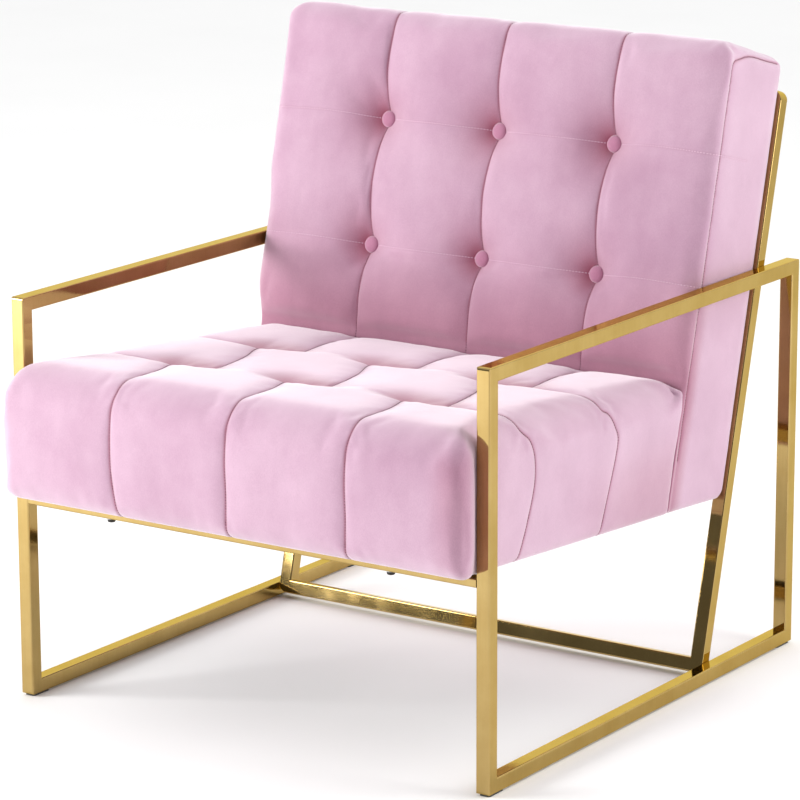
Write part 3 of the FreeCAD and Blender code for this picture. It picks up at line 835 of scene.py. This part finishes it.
def finish_pad(obj, pad, start, held, seams, flush, apart, creases=(), dimples=(), extra_shade=None):
    """Smooths, subdivides and sews a cushion, and returns its lines on the final surface.

    The seams are drawn in and the flush rows hardly at all. Shade is painted into the grooves, the tuft slits
    and the dimples round the buttons."""
    base_points = pad.points
    relaxed = relax(start, pad.quads, amount=0.45, rounds=3, hold=0.85 * held)
    set_coords(obj.data, base_points)
    tree = surface(obj)
    moved = follow(tree, base_points, seams, relaxed, obj.data)
    moved_flush = follow(tree, base_points, flush, relaxed, obj.data)
    moved_creases = follow(tree, base_points, creases, relaxed, obj.data)
    moved_dimples = follow(tree, base_points, dimples, relaxed, obj.data)
    set_coords(obj.data, keep_clear(apart(relaxed)))
    subdivide(obj)
    p, out = coords(obj.data), normals(obj.data)
    # Each groove is a narrow bell across its line, and painted shade follows it.
    gap = distance_to([even(m, LINE_STEP) for m in moved], p)
    depth = 1.5 * MM * np.exp(-((gap / (1.8 * MM)) ** 1.3))
    painted_shade_level = np.exp(-((gap / (1.7 * MM)) ** 1.6)) * 0.85
    if moved_flush:
        gap = distance_to([even(m, LINE_STEP) for m in moved_flush], p)
        depth = np.maximum(depth, 0.5 * MM * np.exp(-((gap / (1.8 * MM)) ** 1.3)))
        # Faint painted shade along the flush rows.
        painted_shade_level = np.maximum(painted_shade_level, np.exp(-((gap / (1.6 * MM)) ** 1.5)) * 0.12)
    if moved_creases:
        slot = distance_to([even(m, LINE_STEP) for m in moved_creases], p)
        depth = depth + 4.5 * MM * np.exp(-((slot / (3.2 * MM)) ** 1.6))
        # Painted shade in each tuft's slit and on the cloth just behind it, where the slit's front lip shades
        # it.
        lookup = point_tree(moved_creases)
        behind = np.array([smoothstep(-2 * MM, 2 * MM, q[1] - lookup.find(Vector(q))[0].y) for q in p])
        painted_shade_level = np.maximum(painted_shade_level, 0.72 * behind * smoothstep(64 * MM, 10 * MM, slot))
        painted_shade_level = np.maximum(painted_shade_level, 0.9 * np.exp(-((slot / (5.0 * MM)) ** 2)))
    if moved_dimples:
        # Painted shade in the dimple round each button, stronger on the button's left side.
        centres = np.concatenate(moved_dimples)
        for centre in centres:
            away_from = np.linalg.norm(p - centre, axis=1)
            left_side_shade = 0.4 + 0.6 * smoothstep(9 * MM, -9 * MM, p[:, 0] - centre[0])
            painted_shade_level = np.maximum(painted_shade_level, left_side_shade * np.exp(-((away_from / (36 * MM)) ** 1.4)))
    # Further painted shade that each cushion gives for its own shaded places.
    if extra_shade is not None:
        painted_shade_level = np.maximum(painted_shade_level, extra_shade(p))
    p = p - out * depth[:, None]
    set_coords(obj.data, keep_clear(apart(p)))
    paint(obj, "painted_shade", np.clip(painted_shade_level, 0, 1))
    final = surface(obj)
    sewn = [onto(final, even(m, THREAD_STEP)) for m in moved]
    sewn_flush = [onto(final, even(m, THREAD_STEP)) for m in moved_flush]
    return final, sewn, sewn_flush


def dress(obj, material, slot_name, *nodes):
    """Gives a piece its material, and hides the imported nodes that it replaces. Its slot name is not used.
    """
    obj.data.materials.clear()
    obj.data.materials.append(material)
    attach(obj, "root")
    if nodes:
        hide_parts(*nodes)


def seat_painted_shade(points):
    """Where shade is painted darker on the seat.

    That is the front corner beside the right-hand post, and low at the rear of both sides."""
    x, y, z = points.T
    corner = smoothstep(SOFT_HALF - 48 * MM, SOFT_HALF - 6 * MM, x) * smoothstep(-0.372, -0.396, y)
    corner = 0.3 * corner * smoothstep(0.47, 0.43, z) * (0.45 + 0.55 * smoothstep(0.27, 0.42, z))
    side = smoothstep(SOFT_HALF - 22 * MM, SOFT_HALF - 8 * MM, np.abs(x)) * smoothstep(-0.2, 0.06, y)
    return np.maximum(corner, 0.3 * side * smoothstep(0.40, 0.30, z))


seat, seat_pad, seat_start, seat_held, seat_lines, seat_rows, seat_creases = make_seat()
seat_surface, seat_sewn, _ = finish_pad(
    seat,
    seat_pad,
    seat_start,
    seat_held,
    seams=seat_lines + seat_rows,
    flush=[],
    apart=ahead_of_back,
    creases=seat_creases,
    extra_shade=seat_painted_shade,
)
dress(seat, VELVET, "velvet", "seat_cover", "seat_foam")
seat_thread = stitches("seat_stitching", seat_sewn, seat_surface)
dress(seat_thread, SHADED_THREAD, "twine")

# ---------------------------------------------------------------- back

# Places on the back: up the lean from the floor, and forwards from the loop's front face.
BACK_FACE = 145.1 * MM
BACK_TOP = 864 * MM
BACK_FOOT = 226 * MM
ARMREST_UP = 560 * MM  # the back may be fuller above this height, where no armrest passes it


def side_of_back(up, forward):
    """A point of the back's side view, as (y, z)."""
    q = lean_point(0, up, forward)
    return (q[1], q[2])


def back_corners():
    return (
        side_of_back(BACK_FOOT, BACK_FACE),
        side_of_back(BACK_TOP + 4 * MM, BACK_FACE),
        side_of_back(BACK_TOP - 2 * MM, 0.6 * MM),
        side_of_back(BACK_FOOT + 27 * MM, 0.6 * MM),
    )


def back_radius(outward, _place):
    """Rounding of the back's side edges: boxed, fuller along the top."""
    rise = outward @ np.array([math.sin(LEAN), math.cos(LEAN)])
    return 11 * MM + 8 * MM * smoothstep(0.3, 0.95, rise)


def make_back():
    """The back's pad before it is sewn, its held points, seams, rows and buttons."""
    corners = [np.array(c) for c in back_corners()]
    x_marks = (-SOFT_HALF, SOFT_HALF, *COLUMNS)
    across = stations(-SOFT_HALF, SOFT_HALF, x_marks, fine=3.4 * MM, coarse=8.5 * MM, reach=16 * MM)
    across = (across - across[::-1]) / 2
    rise = np.linalg.norm(corners[1] - corners[0])
    k_marks = [0.0, rise, *(row - BACK_FOOT for row in BUTTON_ROWS)]
    k_share = share(0, rise, k_marks)
    deep = np.linalg.norm(corners[2] - corners[1])
    j_share = share(0, deep, (0.0, deep), fine=4.2 * MM, coarse=8 * MM, reach=18 * MM)
    pad = Pad(corners, (8 * MM, 20 * MM, 14 * MM, 20 * MM), across, j_share, k_share, back_radius)
    # Towards its front the back is wider at the left above the armrest, and a little narrower at the right.
    q = pad.points
    ahead = np.clip((q - FOOT) @ FORWARD / BACK_FACE, 0, 1)
    above = smoothstep(ARMREST_UP + 3 * MM, ARMREST_UP + 80 * MM, (q - FOOT) @ UP_LEAN)
    reach = np.abs(q[:, 0] / SOFT_HALF) ** 4
    q[:, 0] += np.where(q[:, 0] < 0, -8 * MM * above * ahead, -3 * MM * ahead) * reach
    obj = make_object("back_cushion", pad.points, pad.quads)
    base = surface(obj)
    seams, rows = [], []
    for column in COLUMNS:
        front = [(column, v * MM, BACK_FACE) for v in (330, 380, 440)]
        for row, after in ((BUTTON_ROWS[0], 626 * MM), (BUTTON_ROWS[1], 790 * MM)):
            front += [(column - 2 * MM, row - 40 * MM, BACK_FACE), (column, row, BACK_FACE)]
            front += [(column - 1 * MM, row + 35 * MM, BACK_FACE), (column - 3 * MM, after, BACK_FACE)]
        front += [(column, BACK_TOP - 18 * MM, BACK_FACE), (column + 3 * MM, BACK_TOP, BACK_FACE - 14 * MM)]
        front += [(column + 5 * MM, BACK_TOP, 70 * MM), (column + 3 * MM, BACK_TOP, 20 * MM)]
        seams.append([lean_point(*q) for q in front])
    edge = SOFT_HALF
    for row in BUTTON_ROWS:
        line = [(-edge, row, 70 * MM), (-edge, row, BACK_FACE - 12 * MM), (-edge + 12 * MM, row, BACK_FACE)]
        middles = [(-270 * MM, row + 2 * MM), *((c, row) for c in COLUMNS), (270 * MM, row + 2 * MM)]
        line += [(x, v, BACK_FACE) for x, v in middles]
        line += [(edge - 12 * MM, row, BACK_FACE), (edge, row, BACK_FACE - 12 * MM), (edge, row, 70 * MM)]
        rows.append([lean_point(*q) for q in line])
    edges = []
    for sign in (-1, 1):
        x = sign * SOFT_HALF
        ups = (300, 400, 500, 600, 700, 800, 838)
        inset = (5 if sign > 0 else 16) * MM
        line = [(x, v * MM, BACK_FACE - inset) for v in ups] + [(x, 850 * MM, BACK_FACE - 26 * MM)]
        line += [(x, 858 * MM, w * MM) for w in (90, 50, 14)]
        edges.append([lean_point(*q) for q in line])
    lines = [onto(base, smooth_line(s, SEAM_STEP)) for s in seams]
    row_lines = [onto(base, smooth_line(s, SEAM_STEP)) for s in rows]
    edge_lines = [onto(base, smooth_line(s, SEAM_STEP)) for s in edges]
    button_points = [
        onto(base, np.array([lean_point(column, row, BACK_FACE)]))
        for column in COLUMNS
        for row in BUTTON_ROWS
    ]
    p = pad.points
    out = normals(obj.data)
    to_seam = distance_to(lines, p)
    to_button = distance_to(button_points, p)
    ahead = smoothstep(0.3, 0.9, out @ FORWARD)
    side = smoothstep(0.5, 0.95, np.abs(out[:, 0]))
    high = smoothstep(0.3, 0.9, out @ UP_LEAN)
    level = np.clip(1 - (np.abs(p[:, 0]) / SOFT_HALF) ** 6, 0, 1)
    up = (p - FOOT) @ UP_LEAN
    arch = smoothstep(0, 60 * MM, BACK_TOP - up)
    fuller = smoothstep(400 * MM, 470 * MM, up)
    fuller = fuller * (1 + 0.8 * smoothstep(0.5, 0.9, -p[:, 0] / SOFT_HALF))
    crown = (7 * fuller + level * 2.5 * (0.35 + 0.65 * arch)) * MM * ahead + 3 * MM * level * high
    panel = 1 - np.exp(-to_seam / (22 * MM))
    swell = (5 * ahead + 1.0 * side + 1.5 * high) * MM * panel
    dip = 22 * MM * np.exp(-((np.clip(to_button - 8 * MM, 0, None) / (30 * MM)) ** 1.05)) * ahead
    rear = smoothstep(0.3, 0.9, -(out @ FORWARD))
    start = p + out * ((crown + swell * np.where(side > 0.5, 0.4, 1) - dip) * (1 - rear))[:, None]
    held = np.where(rear > 0.4, 1.0, 0.0)
    held = hold(held, to_button < 10 * MM)
    held = hold(held, to_seam < SEAM_WIDTH, 0.9)
    held = hold(held, distance_to(edge_lines, p) < 3.6 * MM, 0.9)
    held = hold(held, up < 330 * MM, 0.9)
    set_coords(obj.data, start)
    start = inflate(obj, held, (1.5 + 3.0 * ahead) * MM)
    return obj, pad, start, held, lines + edge_lines, row_lines, button_points


back, back_pad, back_start, back_held, back_lines, back_rows, back_buttons = make_back()


def back_painted_shade(points):
    """How much shade is painted low on the back, where the seat meets it."""
    up = (points - FOOT) @ UP_LEAN
    ahead = (points - FOOT) @ FORWARD
    return 0.46 * smoothstep(600 * MM, 400 * MM, up) * smoothstep(110 * MM, 135 * MM, ahead)


back_surface, back_sewn, back_row_sewn = finish_pad(
    back,
    back_pad,
    back_start,
    back_held,
    seams=back_lines,
    flush=back_rows,
    apart=behind_seat,
    dimples=back_buttons,
    extra_shade=back_painted_shade,
)
dress(back, VELVET, "velvet", "back_cover", "back_foam")
back_thread = stitches("back_stitching", back_sewn, back_surface)
dress(back_thread, SHADED_THREAD, "twine")
back_row_thread = stitches(
    "back_row_stitching", back_row_sewn, back_surface, pitch=4.4 * MM, length=3.2 * MM, radius=0.55 * MM
)
dress(back_row_thread, LIT_THREAD, "twine")


# Radius and height of a button's outline, in millimetres, from its crown to the middle of its underside.
BUTTON_PROFILE = ((0.0, 5.4), (2.9, 5.3), (5.8, 4.9), (8.4, 4.0), (10.5, 2.7), (11.8, 1.1))
BUTTON_PROFILE += ((12.1, -0.6), (11.6, -2.2), (10.2, -3.6), (7.8, -4.4), (0.0, -4.4))


def covered_button(name, centre, turn):
    """A domed button, its velvet gathered under the rim."""
    across = np.array([1.0, 0.0, 0.0])
    spokes = 60
    points = [centre + FORWARD * BUTTON_PROFILE[0][1] * MM]
    for r, h in BUTTON_PROFILE[1:-1]:
        for n in range(spokes):
            a = 2 * math.pi * n / spokes
            gather = 0.16 * math.cos(15 * a + turn) * smoothstep(8.0, 12.0, r) + 0.12 * math.sin(3 * a + turn)
            radius = r + gather
            height = h + 0.1 * math.sin(2 * a + turn) * (r / 12)
            spoke = across * math.cos(a) + UP_LEAN * math.sin(a)
            points.append(centre + spoke * radius * MM + FORWARD * height * MM)
    points.append(centre + FORWARD * BUTTON_PROFILE[-1][1] * MM)
    faces = [(0, 1 + n, 1 + (n + 1) % spokes) for n in range(spokes)]
    for ring in range(len(BUTTON_PROFILE) - 3):
        base = 1 + ring * spokes
        for n in range(spokes):
            beside = (n + 1) % spokes
            faces.append((base + n, base + spokes + n, base + spokes + beside, base + beside))
    last = len(points) - 1
    base = 1 + (len(BUTTON_PROFILE) - 3) * spokes
    faces += [(last, base + (n + 1) % spokes, base + n) for n in range(spokes)]
    return make_object(name, points, faces)


BUTTON_FORWARD = 135 * MM  # buttons sit this far forward of the loop, sunk behind the back's face

for number, row in enumerate((r for r in BUTTON_ROWS for _ in COLUMNS), start=1):
    low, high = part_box(f"back_button_{number}")
    middle = np.array((low + high) / 2)
    place = lean_point(middle[0], row, BUTTON_FORWARD)
    button = covered_button(f"button_{number}", place, 1.7 * number)
    dress(button, SHADED_BUTTON_VELVET, "velvet", f"back_button_{number}")

# ---------------------------------------------------------------- dust cover

dust_low, dust_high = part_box("seat_dust_cover")


def make_dust_cover():
    """Thin felt stapled under the seat, which hangs by 2 mm in the middle."""
    nx, ny = 90, 56
    x = np.linspace(dust_low.x, dust_high.x, nx)
    y = np.linspace(dust_low.y, dust_high.y, ny)
    points = []
    for lift in (0.0, 0.8 * MM):
        for yy in y:
            for xx in x:
                u = (xx - x[0]) / (x[-1] - x[0])
                v = (yy - y[0]) / (y[-1] - y[0])
                hang = 2.0 * MM * math.sin(math.pi * u) ** 0.7 * math.sin(math.pi * v) ** 0.7
                pucker = 0.25 * MM * math.sin(40 * math.pi * u) * math.exp(-14 * min(v, 1 - v))
                z = seat_under(yy) - 0.3 * MM - hang - pucker - lift
                points.append((xx, yy, z))
    count = nx * ny
    faces = []
    for r in range(ny - 1):
        for c in range(nx - 1):
            a = r * nx + c
            faces.append((a, a + 1, a + nx + 1, a + nx))
            faces.append((count + a, count + a + nx, count + a + nx + 1, count + a + 1))
    rim = list(range(nx)) + [r * nx + nx - 1 for r in range(1, ny)]
    rim += [(ny - 1) * nx + c for c in range(nx - 2, -1, -1)] + [r * nx for r in range(ny - 2, 0, -1)]
    for a, b in zip(rim, rim[1:] + rim[:1]):
        faces.append((b, a, count + a, count + b))
    return make_object("dust_cover", points, faces)


dust = make_dust_cover()
dress(dust, DUST, "dust_cloth", "seat_dust_cover")

# ---------------------------------------------------------------- stage, light and camera


def make_floor():
    bpy.ops.mesh.primitive_grid_add(x_subdivisions=4, y_subdivisions=4, size=60)
    floor = bpy.context.object
    floor.name = "floor"
    n = Nodes("floor_paint")
    n.colour(n.ramp(n.noise(2.0, 3, 0.5), [(0.2, (0.93, 0.93, 0.93)), (0.8, (0.955, 0.955, 0.955))]))
    n.rough(n.range(n.noise(40, 2, 0.5), 0.2, 0.8, 0.65, 0.75))
    n.set(Specular_IOR_Level=0.2)
    n.bump([(n.noise(300, 2, 0.5), 0.05, 0.0005)])
    floor.data.materials.append(n.material)
    floor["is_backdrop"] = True


make_floor()


def softbox(name, place, target, width, height, watts, colour):
    """A rectangular area light that faces its target."""
    data = bpy.data.lights.new(name, "AREA")
    data.shape = "RECTANGLE"
    data.size, data.size_y = width, height
    data.energy = watts
    data.color = colour
    light = bpy.data.objects.new(name, data)
    bpy.context.scene.collection.objects.link(light)
    light.location = place
    light.rotation_euler = (Vector(target) - Vector(place)).to_track_quat("-Z", "Y").to_euler()


softbox("key", (-2.9, -2.7, 1.45), (0, 0, 0.45), 1.7, 1.7, watts=165, colour=(1.0, 0.995, 0.985))
softbox("fill", (3.4, 0.9, 1.5), (0, 0, 0.5), 1.5, 2.0, watts=58, colour=(1.0, 0.98, 0.97))

# Soft light from overhead, weaker towards the horizon, with a bright sweep behind and a dim studio in front.
world = bpy.data.worlds.new("studio")
world.use_nodes = True
sky = world.node_tree
sky_place = sky.nodes.new("ShaderNodeTexCoord")
sky_split = sky.nodes.new("ShaderNodeSeparateXYZ")
sky.links.new(sky_place.outputs["Generated"], sky_split.inputs["Vector"])
sky_parts = []
for way, low, high, dim, bright in (("Y", -0.7, 0.7, 0.08, 1.0), ("Z", 0.0, 1.0, 0.0, 0.64)):
    part = sky.nodes.new("ShaderNodeMapRange")
    for socket, value in (("From Min", low), ("From Max", high), ("To Min", dim), ("To Max", bright)):
        part.inputs[socket].default_value = value
    sky.links.new(sky_split.outputs[way], part.inputs["Value"])
    sky_parts.append(part.outputs["Result"])
sky_sum = sky.nodes.new("ShaderNodeMath")
sky.links.new(sky_parts[0], sky_sum.inputs[0])
sky.links.new(sky_parts[1], sky_sum.inputs[1])
sky.links.new(sky_sum.outputs[0], sky.nodes["Background"].inputs["Strength"])
sky.nodes["Background"].inputs["Color"].default_value = (1, 1, 1, 1)
bpy.context.scene.world = world
bpy.context.scene.view_settings.view_transform = "Standard"

# The camera was fitted to the corners of the frame in the photograph.
AZIMUTH, ELEVATION, ROLL = (math.radians(a) for a in (34.163, 13.806, -0.188))
CAMERA_PLACE = (2.8894, -4.2701, 1.6565)
camera_data = bpy.data.cameras.new("camera")
camera_data.sensor_width = 36
camera_data.lens = 174.6
camera_data.clip_end = 60
camera = bpy.data.objects.new("camera", camera_data)
bpy.context.scene.collection.objects.link(camera)
bpy.context.scene.camera = camera
away = Vector(
    (
        math.sin(AZIMUTH) * math.cos(ELEVATION),
        -math.cos(AZIMUTH) * math.cos(ELEVATION),
        math.sin(ELEVATION),
    )
)
to_right = Vector((math.cos(AZIMUTH), math.sin(AZIMUTH), 0))
upward = away.cross(to_right)
rolled_right = to_right * math.cos(ROLL) + upward * math.sin(ROLL)
rolled_up = upward * math.cos(ROLL) - to_right * math.sin(ROLL)
turn = Matrix((rolled_right, rolled_up, away)).transposed().to_4x4()
camera.matrix_world = Matrix.Translation(CAMERA_PLACE) @ turn

low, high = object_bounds()
